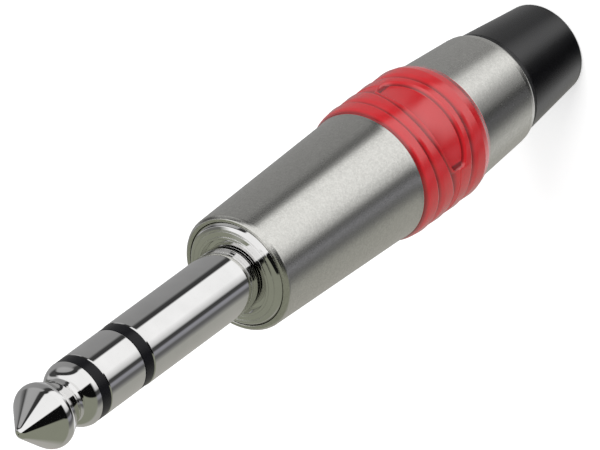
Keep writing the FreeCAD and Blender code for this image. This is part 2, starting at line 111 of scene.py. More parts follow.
class PlugFinish(PropertyGroup):
    nickel: colour("Polished Nickel", "Plating of the contacts", (0.87, 0.865, 0.86, 1))
    nickel_roughness: share("Polished Roughness", "Blur of the contacts' plating", 0.045)
    satin: colour("Satin Nickel", "Plating of the housing", (0.73, 0.725, 0.69, 1))
    satin_roughness: share("Satin Roughness", "Blur of the housing's plating", 0.25)
    band: colour("Bands", "Insulating bands between the contacts", (0.004, 0.004, 0.006, 1))
    band_roughness: share("Band Roughness", "Blur of the insulating bands", 0.3)
    ring: colour("Coding Ring", "Soft ring on the housing", (0.61, 0.006, 0.013, 1))
    ring_roughness: share("Ring Roughness", "Blur of the coding ring", 0.22)
    boot: colour("Boot", "Soft boot at the cable end", (0.002, 0.002, 0.003, 1))
    boot_roughness: share("Boot Roughness", "Blur of the boot", 0.22)
    clamp: colour("Clamp", "Hard plastic of the chuck and nut", (0.014, 0.014, 0.015, 1))
    clamp_roughness: share("Clamp Roughness", "Blur of the chuck and nut", 0.3)
    insulation: colour("Insulation", "Plastic round the terminals", (0.72, 0.70, 0.62, 1))
    insulation_roughness: share("Insulation Roughness", "Blur of the pale plastic", 0.42)
    terminal: colour("Terminals", "Tinned solder lugs", (0.70, 0.68, 0.62, 1))
    terminal_roughness: share("Terminal Roughness", "Blur of the solder lugs", 0.24)


class PlugStage(PropertyGroup):
    view_angle: FloatProperty(
        name="View Angle", description="Angle between the view and the plug's axis",
        default=math.radians(46.7), unit="ROTATION", subtype="ANGLE")
    view_azimuth: FloatProperty(
        name="View Azimuth", description="Side that the camera looks from",
        default=math.radians(-101), unit="ROTATION", subtype="ANGLE")
    axis_tilt: FloatProperty(
        name="Axis Tilt", description="Slope of the plug's axis in the picture",
        default=math.radians(36.41), unit="ROTATION", subtype="ANGLE")
    distance: length("Camera Distance", "From the camera to the plug", 0.9)
    aim_height: length("Aim Height", "Height on the axis at the picture's centre", 0.038008)
    aim_shift: length("Aim Shift", "From the axis to the middle of the picture", 0.00015)
    focal_pixels: FloatProperty(
        name="Focal Pixels", description="Focal length in pixels of the picture",
        default=10054.0, min=1.0)
    picture_pixels: FloatProperty(
        name="Picture Pixels", description="Width of the picture in those pixels",
        default=600.0, min=1.0)
    floor: colour("Floor", "Pale floor", (0.86, 0.86, 0.86, 1))
    floor_size: length("Floor Size", "From the plug to the floor's edges", 3.0)
    floor_glow: FloatProperty(
        name="Floor Glow", description="What the camera sees on top of the floor's own light",
        default=0.42, min=0.0)
    fill: FloatProperty(
        name="Fill", description="Level of the even light from all round",
        default=0.62, min=0.0)
    key: FloatProperty(
        name="Key", description="Power of the main softbox", default=10.8, min=0.0,
        unit="POWER")
    side: FloatProperty(
        name="Side", description="Power of the softbox at the side", default=2.7, min=0.0,
        unit="POWER")
    lamp_distance: length("Lamp Distance", "From the plug to the softboxes", 1.4)


# Outlines of turned pieces, in millimetres: radius, height and rounding of each corner

ROUND_SHARE = 0.45  # how much of the side next to it a rounding may take up
LONG_SIDE = 0.24  # a side longer than this gets a point near each of its ends
SUPPORT = 0.03  # from the end of a long side to that point
POLE_RADIUS = 1e-6  # closer to the axis than this, a row is one point
THREAD_SLOPE = 2.3  # steepness of a thread's flanks
THREAD_ROOT = 0.55  # how far the flanks run on below the flat root


def rounded(corners, steps, closed=True):
    """The points of an outline with its corners rounded off."""
    points = []
    count = len(corners)
    for index, corner in enumerate(corners):
        here = Vector(corner[:2])
        radius = corner[2] if len(corner) > 2 else 0
        if radius <= 0 or not closed and index in (0, count - 1):
            points.append(here)
            continue
        back = Vector(corners[index - 1][:2]) - here
        forth = Vector(corners[(index + 1) % count][:2]) - here
        angle = back.angle(forth, math.pi)
        reach = radius / math.tan(angle / 2)
        limit = ROUND_SHARE * min(back.length, forth.length)
        if reach > limit:
            radius *= limit / reach
            reach = limit
        back.normalize()
        forth.normalize()
        centre = here + (back + forth).normalized() * (radius / math.sin(angle / 2))
        start = here + back * reach - centre
        end = here + forth * reach - centre
        sweep = start.angle(end, 0)
        if start.x * end.y - start.y * end.x < 0:
            sweep = -sweep
        for step in range(steps + 1):
            turn = Matrix.Rotation(sweep * step / steps, 2)
            points.append(centre + turn @ start)
    return points


def straight(start, end, steps):
    """Points of a straight run from start towards end, without the last."""
    return [tuple(a + (b - a) * step / steps for a, b in zip(start, end))
            for step in range(steps)]


def bulge(start, end, radius, steps, side=1):
    """Points of an arc from start towards end, without the last; side +1 turns left."""
    start = Vector(start)
    end = Vector(end)
    chord = end - start
    left = Vector((-chord.y, chord.x)).normalized()
    reach = math.sqrt(max(radius ** 2 - (chord.length / 2) ** 2, 0))
    centre = (start + end) / 2 + left * (side * reach)
    spoke = start - centre
    sweep = spoke.angle(end - centre, 0) * side
    return [tuple(centre + Matrix.Rotation(sweep * step / steps, 2) @ spoke)
            for step in range(steps)]


def supported(points, closed=True):
    """The outline with a point added close to both ends of each long side."""
    result = []
    for here, after in zip(points, points[1:] + (points[:1] if closed else [])):
        here = Vector(here)
        after = Vector(after)
        side = after - here
        result.append(here)
        if side.length > LONG_SIDE:
            step = side.normalized() * SUPPORT
            result += [here + step, after - step]
    if not closed:
        result.append(Vector(points[-1]))
    return result


def smoothed(mesh):
    mesh.shade_smooth()
    mesh.set_sharp_from_angle(angle=SHARP_ANGLE)


def add_piece(name, vertices, faces, material):
    """An object at the origin from vertices in millimetres, smooth up to its sharp edges."""
    mesh = bpy.data.meshes.new(name)
    mesh.from_pydata([Vector(v) * MM for v in vertices], [], faces)
    mesh.validate()
    mesh.materials.append(material)
    smoothed(mesh)
    piece = bpy.data.objects.new(name, mesh)
    bpy.context.scene.collection.objects.link(piece)
    return piece


def turned(name, outline_at, steps, material):
    """A piece swept round the axis, with its faces outward.

    outline_at gives the closed outline, points of radius and height, for an angle.
    """
    angles = [2 * math.pi * column / steps for column in range(steps)]
    sections = [outline_at(angle) for angle in angles]
    first = sections[0]
    rows = len(first)
    area = sum(a[0] * b[1] - b[0] * a[1] for a, b in zip(first, first[1:] + first[:1]))
    poles = {row for row in range(rows) if abs(first[row][0]) < POLE_RADIUS}
    vertices = []
    faces = []
    index = {}
    for column, (angle, section) in enumerate(zip(angles, sections)):
        for row, (radius, height) in enumerate(section):
            if row in poles and column:
                index[column, row] = index[0, row]
                continue
            index[column, row] = len(vertices)
            vertices.append((radius * math.cos(angle), radius * math.sin(angle), height))
    for column in range(steps):
        following = (column + 1) % steps
        for row in range(rows):
            below = (row + 1) % rows
            if row in poles and below in poles:
                continue
            corners = [index[column, row], index[following, row],
                       index[following, below], index[column, below]]
            corners = list(dict.fromkeys(corners))
            faces.append(corners if area > 0 else corners[::-1])
    return add_piece(name, vertices, faces, material)


def part_outline(corners, shape):
    """Points of an open run that an outline is joined from."""
    return supported(rounded(corners, shape.round_steps, False), False)


def turned_plain(name, corners, material, shape):
    """A piece swept round the axis from the corners of one outline."""
    outline = supported(rounded(corners, shape.round_steps))
    return turned(name, lambda angle: outline, shape.turn_steps, material)


def threaded(rows, low, high, crest, depth, pitch):
    """Heights and a radius for each angle of a fine thread that fades out at its ends."""
    heights = [low + (high - low) * row / rows for row in range(rows + 1)]

    def radius(height, angle):
        phase = ((height - low) / pitch - angle / (2 * math.pi)) % 1
        wave = min(1, max(0, THREAD_SLOPE * abs(2 * phase - 1) - THREAD_ROOT))
        fade = min(1, (height - low) / pitch, (high - height) / pitch)
        return crest - depth * (1 - wave) * max(0, fade)

    return heights, radius


# Materials. The noises' scales are per metre, and the bumps' distances are in metres.

TURNING = (0.4, 0.4, 14)  # marks from turning lie close together along the axis
COAT_ROUGHNESS = 0.24
COAT_IOR = 1.8
PAINTED_SHADE_RADII = (6, 7)  # least and greatest radius, in millimetres, of the stops of the painted valley shade
VALLEY_SHADE = 0.25  # of the base colour is left where the painted valley shade is darkest


class Nodes:
    """A short way to fill a material's or the world's node tree."""

    def __init__(self, owner):
        owner.use_nodes = True
        self.tree = owner.node_tree
        self.tree.nodes.clear()

    def add(self, kind, inputs=None, **settings):
        node = self.tree.nodes.new(kind)
        for key, value in settings.items():
            setattr(node, key, value)
        for key, value in (inputs or {}).items():
            self.put(node.inputs[key], value)
        return node

    def put(self, socket, value):
        if isinstance(value, bpy.types.NodeSocket):
            self.tree.links.new(value, socket)
        else:
            socket.default_value = value

    def math(self, operation, first, second):
        node = self.add("ShaderNodeMath", {0: first, 1: second}, operation=operation)
        return node.outputs[0]

    def between(self, value, from_low, from_high, to_low=0.0, to_high=1.0):
        """The value moved from one range to another, and kept in it."""
        node = self.add("ShaderNodeMapRange", {
            "Value": value, "From Min": from_low, "From Max": from_high,
            "To Min": to_low, "To Max": to_high})
        return node.outputs["Result"]

    def mixed(self, factor, first, second):
        node = self.add("ShaderNodeMix", data_type="RGBA")
        for socket, value in zip(
                (node.inputs[0], node.inputs[6], node.inputs[7]), (factor, first, second)):
            self.put(socket, value)
        return node.outputs[2]

    def ramp(self, value, stops, low, high):
        """A colour for each value between low and high from stops of value and colour."""
        node = self.add("ShaderNodeValToRGB", {"Fac": self.between(value, low, high)})
        elements = node.color_ramp.elements
        while len(elements) < len(stops):
            elements.new(0.5)
        for element, (stop, shade) in zip(elements, stops):
            element.position = (stop - low) / (high - low)
            element.color = shade if isinstance(shade, tuple) else (shade, shade, shade, 1)
        return node.outputs[0]

    def noise(self, scale, detail=2.0, stretch=(1, 1, 1), roughness=0.5):
        place = self.add("ShaderNodeTexCoord").outputs["Object"]
        mapping = self.add("ShaderNodeMapping", {"Vector": place, "Scale": stretch})
        node = self.add("ShaderNodeTexNoise", {
            "Vector": mapping.outputs[0], "Scale": scale, "Detail": detail,
            "Roughness": roughness})
        return node.outputs["Fac"]

    def radius(self):
        """The distance from the plug's axis in millimetres."""
        place = self.add("ShaderNodeTexCoord").outputs["Object"]
        flat = self.add("ShaderNodeVectorMath", {0: place, 1: (1 / MM, 1 / MM, 0)},
                        operation="MULTIPLY")
        return self.add("ShaderNodeVectorMath", {0: flat.outputs[0]},
                        operation="LENGTH").outputs["Value"]

    def bump(self, height, strength, distance):
        return self.add("ShaderNodeBump", {
            "Height": height, "Strength": strength, "Distance": distance}).outputs[0]


def tinted(base, factor):
    """The colour made darker or paler by the factor."""
    return tuple(channel * factor for channel in base[:3]) + (1,)


def principled(nodes, inputs):
    """End the material's tree with a Principled shader that has these inputs."""
    shader = nodes.add("ShaderNodeBsdfPrincipled", inputs)
    nodes.add("ShaderNodeOutputMaterial", {"Surface": shader.outputs[0]})


def polished_metal(name, base, roughness):
    """Bright plating with faint turning marks and handling haze."""
    material = bpy.data.materials.new(name)
    nodes = Nodes(material)
    haze = nodes.noise(scale=420, detail=3)
    marks = nodes.noise(scale=900, stretch=TURNING)
    principled(nodes, {
        "Base Color": nodes.mixed(
            nodes.between(haze, 0.35, 0.75), base[:], tinted(base, 0.93)),
        "Metallic": 1.0,
        "Roughness": nodes.between(haze, 0.3, 0.8, roughness * 0.8, roughness * 1.7),
        "Normal": nodes.bump(marks, strength=0.12, distance=0.000002)})
    return material


def satin_metal(name, base, roughness):
    """Matt plating with a fine grain and a slightly uneven tone."""
    material = bpy.data.materials.new(name)
    nodes = Nodes(material)
    grain = nodes.noise(scale=6000, roughness=0.6)
    cloud = nodes.noise(scale=2600, detail=3)
    tone = nodes.math("ADD", nodes.math("MULTIPLY", grain, 0.6),
                      nodes.math("MULTIPLY", cloud, 0.4))
    principled(nodes, {
        "Base Color": nodes.mixed(
            nodes.between(tone, 0.38, 0.62), tinted(base, 0.91), tinted(base, 1.06)),
        "Metallic": 1.0,
        "Roughness": nodes.between(tone, 0.3, 0.7, roughness * 1.12, roughness * 0.9),
        "Normal": nodes.bump(tone, strength=0.35, distance=0.000012)})
    return material


def plastic(name, base, roughness, grain_scale, grain_depth, wear=0.0, gloss=0.5, coat=0.0,
            painted_shade=None):
    """Moulded plastic or rubber with a fine skin, paler where it is rubbed.

    The painted shade is stops of a radius in millimetres and how much darker the colour is
    painted there, as shade in the valleys between ridges.
    """
    material = bpy.data.materials.new(name)
    nodes = Nodes(material)
    grain = nodes.noise(grain_scale, detail=3, roughness=0.6)
    cloud = nodes.noise(scale=330, detail=4)
    rubbed = nodes.between(cloud, 0.52, 0.78, 0, wear)
    deep = nodes.mixed(nodes.between(cloud, 0.3, 0.7), tinted(base, 0.94), base[:])
    tone = nodes.mixed(rubbed, deep, tinted(base, 1.5))
    # Painted shade: the colour is darkened at the valleys' radii, where shade falls between
    # the ridges
    if painted_shade:
        tone = nodes.mixed(nodes.ramp(nodes.radius(), painted_shade, *PAINTED_SHADE_RADII),
                           tone, tinted(base, VALLEY_SHADE))
    principled(nodes, {
        "Base Color": tone,
        "Roughness": nodes.between(cloud, 0.25, 0.75, roughness * 0.9, roughness * 1.15),
        "Specular IOR Level": gloss,
        "Coat Weight": coat,
        "Coat Roughness": COAT_ROUGHNESS,
        "Coat IOR": COAT_IOR,
        "Normal": nodes.bump(grain, strength=0.3, distance=grain_depth)})
    return material


def settings():
    scene = bpy.context.scene
    return scene.plug_shape, scene.plug_finish, scene.plug_stage


def found(name, make):
    """The material of that name, made by make if it isn't there yet."""
    return bpy.data.materials.get(name) or make(name)


def polished_nickel():
    finish = settings()[1]
    return found("Polished nickel", lambda name: polished_metal(
        name, finish.nickel, finish.nickel_roughness))


def satin_nickel():
    finish = settings()[1]
    return found("Satin nickel", lambda name: satin_metal(
        name, finish.satin, finish.satin_roughness))


def black_band():
    finish = settings()[1]
    return found("Black band", lambda name: plastic(
        name, finish.band, finish.band_roughness,
        grain_scale=9000, grain_depth=0.000004, gloss=0.25))


def clamp_plastic():
    finish = settings()[1]
    return found("Clamp plastic", lambda name: plastic(
        name, finish.clamp, finish.clamp_roughness,
        grain_scale=6000, grain_depth=0.000006))


def node_top(node):
    """The height in millimetres at which the CAD node ends."""
    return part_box(node)[1][2] / MM


def node_bottom(node):
    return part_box(node)[0][2] / MM


def node_radius(node):
    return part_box(node)[1][0] / MM


def dress(piece, body, slot, *nodes):
    """Put the piece in the place of CAD nodes, on their body; the slot is not used."""
    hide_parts(*nodes)
    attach(piece, body)


# Pieces, with sizes in millimetres

RING_BORE = 1.34
SLEEVE_BORE = 2.24
FINGER_RADIUS = 3.175


class PLUG_OT_contact_finger(Operator):
    """Build the turned tip, ring and sleeve contacts and the bands between them"""

    bl_idname = "plug.contact_finger"
    bl_label = "Contact Finger"
    bl_options = {"REGISTER", "UNDO"}

    def execute(self, context):
        shape = settings()[0]
        self.tip(shape)
        self.band("tip_band", "tip_insulator", RING_BORE, shape)
        self.ring(shape)
        self.band("ring_band", "ring_insulator", SLEEVE_BORE, shape)
        self.sleeve(shape)
        return {"FINISHED"}

    def tip(self, shape):
        top = node_top("tip_contact")
        rear = node_bottom("tip_contact")
        back = node_top("tip_insulator")
        steps = shape.round_steps * 4
        rod = 0.9
        neck_back = (2.15, top - 6.64)
        neck_front = (2.15, top - 5.99)
        ball_back = (3.01, top - 4.2)
        widest = (3.14, top - 3.69)
        cone = (2.89, top - 3.01)
        nose = (0.615, top - 0.29)
        outline = part_outline([
            (0, rear), (0.84, rear, 0.1), (1.4, rear + 0.42, 0.1), (1.4, rear + 0.6),
            (rod, rear + 0.6), (rod, back), (3.08, back)], shape)
        outline += bulge((3.14, back + 0.06), neck_back, radius=1.7, steps=steps)
        outline += bulge(neck_back, neck_front, radius=0.6, steps=steps // 3, side=-1)
        outline += straight(neck_front, ball_back, steps=shape.round_steps)
        outline += bulge(ball_back, widest, radius=1.07, steps=steps // 3)
        outline += bulge(widest, cone, radius=1.07, steps=steps // 2)
        outline += straight(cone, nose, steps=steps // 3)
        outline += bulge(nose, (0.0, top), radius=0.8, steps=steps // 2)
        piece = turned("tip_pole", lambda angle: outline, shape.turn_steps, polished_nickel())
        dress(piece, "contact_finger", "nickel_polished", "tip_contact")

    def band(self, name, node, bore, shape):
        low = node_bottom(node)
        high = node_top(node)
        radius = node_radius(node)
        piece = turned_plain(name, [
            (bore, low), (radius, low, 0.03), (radius, high, 0.03), (bore, high)],
            black_band(), shape)
        dress(piece, "contact_finger", "band_black", node)

    def ring(self, shape):
        low = node_bottom("ring_contact")
        high = node_top("ring_contact")
        back = node_top("ring_insulator")
        radius = node_radius("ring_contact")
        edge = shape.edge_break / MM
        piece = turned_plain("ring_pole", [
            (RING_BORE, low), (1.8, low), (1.8, back), (radius - edge, back),
            (radius, back + edge, 0.06), (radius, high - edge, 0.06),
            (radius - edge, high), (RING_BORE, high)], polished_nickel(), shape)
        dress(piece, "contact_finger", "nickel_polished", "ring_contact")

    def sleeve(self, shape):
        low = node_bottom("sleeve_contact")
        high = node_top("sleeve_contact")
        face = high - 15.81
        seat = face - 1.95
        thread_low = seat - 4
        edge = shape.edge_break / MM
        crest = 4.7
        heights, radius_at = threaded(
            shape.finger_thread_rows, thread_low + 0.14, seat - 0.06, crest,
            shape.finger_thread_depth / MM, shape.finger_thread_pitch / MM)
        lower = part_outline([
            (SLEEVE_BORE, low), (2.6, low, 0.05), (2.6, thread_low - 0.8),
            (3.5, thread_low - 0.8, 0.05), (3.5, thread_low), (4.5, thread_low)], shape)
        upper = part_outline([
            (crest, seat), (5.05, seat, 0.05), (5.05, face - 0.62, 0.15),
            (4.86, face - 0.36, 0.3), (4.5, face - 0.22, 0.05), (4.46, face - 0.3, 0.03),
            (4.4, face - 0.3, 0.03), (4.36, face - 0.2, 0.05), (3.95, face - 0.08, 0.02),
            (3.93, face - 0.13, 0.02), (3.88, face - 0.13, 0.02), (3.86, face - 0.05, 0.02),
            (3.66, face, 0.06), (3.58, face - 0.7, 0.04), (FINGER_RADIUS, face - 0.7, 0.03),
            (FINGER_RADIUS, high - edge, 0.05), (FINGER_RADIUS - edge, high, 0.03),
            (SLEEVE_BORE, high)], shape)

        def outline(angle):
            thread = [(radius_at(height, angle), height) for height in heights]
            return lower + thread + upper

        piece = turned("sleeve_pole", outline, shape.turn_steps, polished_nickel())
        dress(piece, "contact_finger", "nickel_polished", "sleeve_contact")


class PLUG_OT_terminals(Operator):
    """Finish the solder lugs, the insulators between them and the tube round them"""

    bl_idname = "plug.terminals"
    bl_label = "Terminals"
    bl_options = {"REGISTER", "UNDO"}

    def execute(self, context):
        finish = settings()[1]
        tinned = polished_metal(
            "Tinned terminals", finish.terminal, finish.terminal_roughness)
        moulded = plastic(
            "Pale insulation", finish.insulation, finish.insulation_roughness,
            grain_scale=5000, grain_depth=0.000006, wear=0.1)
        for node in ("ground_lug", "ring_lug", "tip_lug"):
            self.paint(node, tinned)
        for node in ("inner_insulating_tube", "outer_insulating_tube", "rear_insulator",
                     "lug_insulator", "insulating_sleeve"):
            self.paint(node, moulded)
        return {"FINISHED"}

    def paint(self, node, material):
        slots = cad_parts[node].material_slots
        if not slots:
            raise RuntimeError(f"{node} has no material slot")
        for slot in slots:
            slot.material = material


class PLUG_OT_housing(Operator):
    """Build the tapered metal shell with its rounded rim and its bore"""

    bl_idname = "plug.housing"
    bl_label = "Housing"
    bl_options = {"REGISTER", "UNDO"}

    def execute(self, context):
        shape = settings()[0]
        low = node_bottom("housing")
        rim = node_top("housing")
        ring_low = node_bottom("coding_ring")
        ring_top = node_top("coding_ring")
        seat = rim - 1.4
        chamber = rim - 5.52
        rib_top = ring_top + 0.16
        rib_low = ring_top - 1.24
        thread_top = low + 9.4
        piece = turned_plain("housing_shell", [
            (5.11, rim, 0.1), (5.11, seat), (4.75, seat), (4.75, chamber),
            (4.6, chamber), (4.6, rib_top), (3.6, rib_top, 0.1),
            (3.6, rib_low, 0.1), (4.45, rib_low), (4.45, thread_top),
            (5.05, thread_top), (5.05, low, 0.1), (5.51, low, 0.2),
            (5.68, low + 0.3, 0.5), (5.74, low + 0.75, 0.8), (6.25, ring_low, 0.05),
            (6.0, ring_low), (6.0, ring_top), (6.40, ring_top, 0.1),
            (6.33, ring_top + 0.4, 0.8), (6.3, ring_top + 1.0, 2.0),
            (5.72, rim - 0.3, 0.4), (5.415, rim, 0.3)], satin_nickel(), shape)
        dress(piece, "shell", "nickel_satin", "housing")
        return {"FINISHED"}


# The coding ring: each crest's drop from the ring's top and its rise at the window, and
# the radius and painted shade of each stop across a valley, how much darker the colour is
# painted there
CRESTS = [(1.75, 0.54), (4.19, 1.66), (6.63, -0.73), (9.07, 0.15)]
RING_PAINTED_SHADE = [(6.36, 0), (6.39, 0.9), (6.46, 0.75), (6.6, 0)]
CREST = 6.78  # radius at the crests
LAND = 6.64  # radius round the window
WINDOW_MIDDLE = 5.22  # from the ring's top
WINDOW_SQUARENESS = 2.6
BOW_REACH = 1.35  # how far round the crests rise, in halves of the window
BOW_POWER = 1.2


class PLUG_OT_coding_ring(Operator):
    """Build the soft ring with its overlapping bands and sunk label window"""

    bl_idname = "plug.coding_ring"
    bl_label = "Coding Ring"
    bl_options = {"REGISTER", "UNDO"}

    def execute(self, context):
        shape, finish, _ = settings()
        low = node_bottom("coding_ring")
        top = node_top("coding_ring")
        middle = top - WINDOW_MIDDLE
        half = shape.window_angle / 2

        def outline(angle):
            away = abs(math.remainder(angle + math.pi / 2, 2 * math.pi))
            bow = max(0.0, math.cos(min(away / (half * BOW_REACH), 1) * math.pi / 2))
            bow **= BOW_POWER
            opening = max(0.0, 1 - (away / half) ** WINDOW_SQUARENESS)
            opening **= 1 / WINDOW_SQUARENESS
            depth = min(1, opening * 1.6)
            front = middle + 0.05 + 1.65 * opening
            rear = middle - 0.05 - 1.5 * opening
            crests = [top - drop + rise * bow for drop, rise in CRESTS]
            corners = [
                (6.02, low), (6.02, top), (6.41, top, 0.08),
                (6.66, (top + crests[0]) / 2 + 0.25, 1.2), (CREST, crests[0], 0.16),
                (6.40, crests[0] - 0.26, 0.1),
                (6.72, (crests[0] + crests[1]) / 2 + 0.1, 1.0), (CREST, crests[1], 0.16),
                (6.42, crests[1] - 0.26, 0.1),
                (LAND + 0.02, front + 0.12, 0.08),
                (LAND + 0.02 - 0.30 * depth, front - 0.02, 0.06),
                (LAND + 0.06 - 0.36 * depth, rear + 0.04 + 0.30 * depth, 0.05),
                (LAND + 0.08, rear - 0.02, 0.08),
                (CREST, crests[2], 0.16), (6.40, crests[2] - 0.27, 0.1),
                (6.70, (crests[2] + crests[3]) / 2, 1.0), (6.75, crests[3], 0.4),
                (6.58, crests[3] - 0.75, 1.0), (6.29, low, 0.12)]
            return [tuple(point) for point in rounded(corners, shape.ring_round_steps)]

        # The red rubber's colour is darkened in the valleys between the bands as painted shade
        rubber = plastic(
            "Red rubber", finish.ring, finish.ring_roughness, grain_scale=5200,
            grain_depth=0.000008, wear=0.06, gloss=0.8, coat=0.6, painted_shade=RING_PAINTED_SHADE)
        piece = turned("coding_band", outline, shape.ring_steps, rubber)
        dress(piece, "shell", "coding_red", "coding_ring")
        return {"FINISHED"}


def slot_tree():
    """A node tree that cuts evenly turned slots across the piece it is given."""
    tree = bpy.data.node_groups.new("Slots round the axis", "GeometryNodeTree")
    tree.is_modifier = True
    face = tree.interface
    face.new_socket("Geometry", in_out="INPUT", socket_type="NodeSocketGeometry")
    for label, kind in (("Cuts", "NodeSocketInt"), ("Width", "NodeSocketFloat"),
                        ("Reach", "NodeSocketFloat"), ("Bottom", "NodeSocketFloat"),
                        ("Top", "NodeSocketFloat"), ("Material", "NodeSocketMaterial")):
        face.new_socket(label, in_out="INPUT", socket_type=kind)
    face.new_socket("Geometry", in_out="OUTPUT", socket_type="NodeSocketGeometry")
    nodes = tree.nodes
    link = tree.links.new
    given = nodes.new("NodeGroupInput")
    result = nodes.new("NodeGroupOutput")

    def calculate(operation, first, second):
        node = nodes.new("ShaderNodeMath")
        node.operation = operation
        for socket, value in zip(node.inputs, (first, second)):
            if isinstance(value, bpy.types.NodeSocket):
                link(value, socket)
            else:
                socket.default_value = value
        return node.outputs[0]

    height = calculate("SUBTRACT", given.outputs["Top"], given.outputs["Bottom"])
    middle = calculate("MULTIPLY",
                       calculate("ADD", given.outputs["Top"], given.outputs["Bottom"]), 0.5)
    size = nodes.new("ShaderNodeCombineXYZ")
    link(given.outputs["Reach"], size.inputs["X"])
    link(given.outputs["Width"], size.inputs["Y"])
    link(height, size.inputs["Z"])
    blade = nodes.new("GeometryNodeMeshCube")
    link(size.outputs[0], blade.inputs["Size"])
    points = nodes.new("GeometryNodePoints")
    link(given.outputs["Cuts"], points.inputs["Count"])
    place = nodes.new("ShaderNodeCombineXYZ")
    link(middle, place.inputs["Z"])
    link(place.outputs[0], points.inputs["Position"])
    index = nodes.new("GeometryNodeInputIndex")
    turn = nodes.new("ShaderNodeCombineXYZ")
    link(calculate("MULTIPLY", index.outputs[0],
                   calculate("DIVIDE", math.pi, given.outputs["Cuts"])), turn.inputs["Z"])
    blades = nodes.new("GeometryNodeInstanceOnPoints")
    link(points.outputs[0], blades.inputs["Points"])
    link(blade.outputs["Mesh"], blades.inputs["Instance"])
    link(turn.outputs[0], blades.inputs["Rotation"])
    cut = nodes.new("GeometryNodeMeshBoolean")
    cut.operation = "DIFFERENCE"
    cut.solver = "EXACT"
    link(given.outputs["Geometry"], cut.inputs["Mesh 1"])
    link(blades.outputs[0], cut.inputs["Mesh 2"])
    realized = nodes.new("GeometryNodeRealizeInstances")
    link(cut.outputs["Mesh"], realized.inputs[0])
    painted = nodes.new("GeometryNodeSetMaterial")
    link(realized.outputs[0], painted.inputs["Geometry"])
    link(given.outputs["Material"], painted.inputs["Material"])
    link(painted.outputs[0], result.inputs[0])
    return tree


def apply_tree(piece, tree, values):
    """Run the tree on the piece with its inputs by name, and keep the plain mesh."""
    modifier = piece.modifiers.new(tree.name, "NODES")
    modifier.node_group = tree
    for item in tree.interface.items_tree:
        if item.item_type == "SOCKET" and item.in_out == "INPUT" and item.name in values:
            modifier[item.identifier] = values[item.name]
    graph = bpy.context.evaluated_depsgraph_get()
    mesh = bpy.data.meshes.new_from_object(piece.evaluated_get(graph))
    piece.modifiers.remove(modifier)
    piece.data = mesh
    smoothed(mesh)


CHUCK_TEETH = 4
TOOTH_STEP = 0.9
FEWEST_FACES = 1000  # a chuck with fewer has been lost in the cut
GROOVES = 2  # in the clamp nut's core, where the boot grips it
GROOVE_STEP = 2


class PLUG_OT_cable_clamp(Operator):
    """Build the slotted chuck and the threaded clamp nut"""

    bl_idname = "plug.cable_clamp"
    bl_label = "Cable Clamp"
    bl_options = {"REGISTER", "UNDO"}

    def execute(self, context):
        shape = settings()[0]
        self.chuck(shape)
        self.nut(shape)
        return {"FINISHED"}

    def chuck(self, shape):
        low = node_bottom("chuck")
        high = node_top("chuck")
        bore = 3.0
        notch = 3.2
        jaws = 3.75
        collar = 4.35
        corners = [(bore, high, 0.15)]
        for tooth in reversed(range(CHUCK_TEETH)):
            foot = low + 0.6 + TOOTH_STEP * tooth
            corners += [(bore, foot + 0.4), (notch, foot + 0.4), (notch, foot), (bore, foot)]
        corners += [(bore, low, 0.05), (3.3, low, 0.1), (jaws, low + 2.6, 0.4),
                    (jaws, high - 2.5, 0.1), (collar, high - 2.5, 0.1), (collar, high, 0.2)]
        piece = turned_plain("cable_chuck", corners, clamp_plastic(), shape)
        apply_tree(piece, slot_tree(), {
            "Cuts": shape.slot_cuts, "Width": shape.slot_width, "Reach": 12 * MM,
            "Bottom": (low - 1) * MM, "Top": (high - 3.4) * MM,
            "Material": clamp_plastic()})
        if len(piece.data.polygons) < FEWEST_FACES:
            raise RuntimeError("the chuck came out empty")
        dress(piece, "cable_chuck", "chuck_plastic", "chuck")

    def nut(self, shape):
        low = node_bottom("clamp_nut")
        high = node_top("clamp_nut")
        back = node_top("boot")
        step = back + 0.5
        nose = node_bottom("chuck")
        bore = 3.4
        core = 4.3
        inset = 3.9
        collar = 5.37
        crest = 5.0
        heights, radius_at = threaded(
            shape.nut_thread_rows, step + 0.1, high - 0.1, crest,
            shape.nut_thread_depth / MM, shape.nut_thread_pitch / MM)
        corners = [(bore, low), (core, low)]
        for groove in range(GROOVES):
            foot = low + GROOVE_STEP * (groove + 0.5)
            corners += [(core, foot), (inset, foot), (inset, foot + 1), (core, foot + 1)]
        corners += [(core, back), (collar, back, 0.06), (collar, step, 0.06), (crest, step)]
        first = part_outline(corners, shape)
        last = part_outline([(4.9, high), (4.0, high), (4.0, nose + 2.6), (3.55, nose),
                             (bore, nose - 0.25)], shape)

        def outline(angle):
            thread = [(radius_at(height, angle), height) for height in heights]
            return first + thread + last

        piece = turned("clamp_core", outline, shape.turn_steps, clamp_plastic())
        dress(piece, "cable_boot", "nut_black", "clamp_nut")


class PLUG_OT_boot(Operator):
    """Build the soft boot at the cable end"""

    bl_idname = "plug.boot"
    bl_label = "Boot"
    bl_options = {"REGISTER", "UNDO"}

    def execute(self, context):
        shape, finish, _ = settings()
        low = node_bottom("boot")
        high = node_top("boot")
        nut_low = node_bottom("clamp_nut")
        bore = 3.2
        seat = 4.32
        grip = 3.92
        corners = [(bore, low, 0.15), (4.47, low, 0.45), (4.51, low + 0.5, 0.3),
                   (5.37, high, 0.05), (seat, high)]
        for groove in reversed(range(GROOVES)):
            foot = nut_low + GROOVE_STEP * (groove + 0.5) + 0.02
            corners += [(seat, foot + 0.96), (grip, foot + 0.96), (grip, foot), (seat, foot)]
        corners += [(seat, nut_low), (bore, nut_low)]
        rubber = plastic(
            "Black rubber", finish.boot, finish.boot_roughness, grain_scale=3200,
            grain_depth=0.000012, wear=0.35, gloss=0.7)
        piece = turned_plain("boot_skin", corners, rubber, shape)
        dress(piece, "cable_boot", "boot_black", "boot")
        return {"FINISHED"}


# Stage: what polished metal mirrors, as stops of direction and shade. The low and deep
# rings go round the plug by degrees, the front and back overhead from side to side.

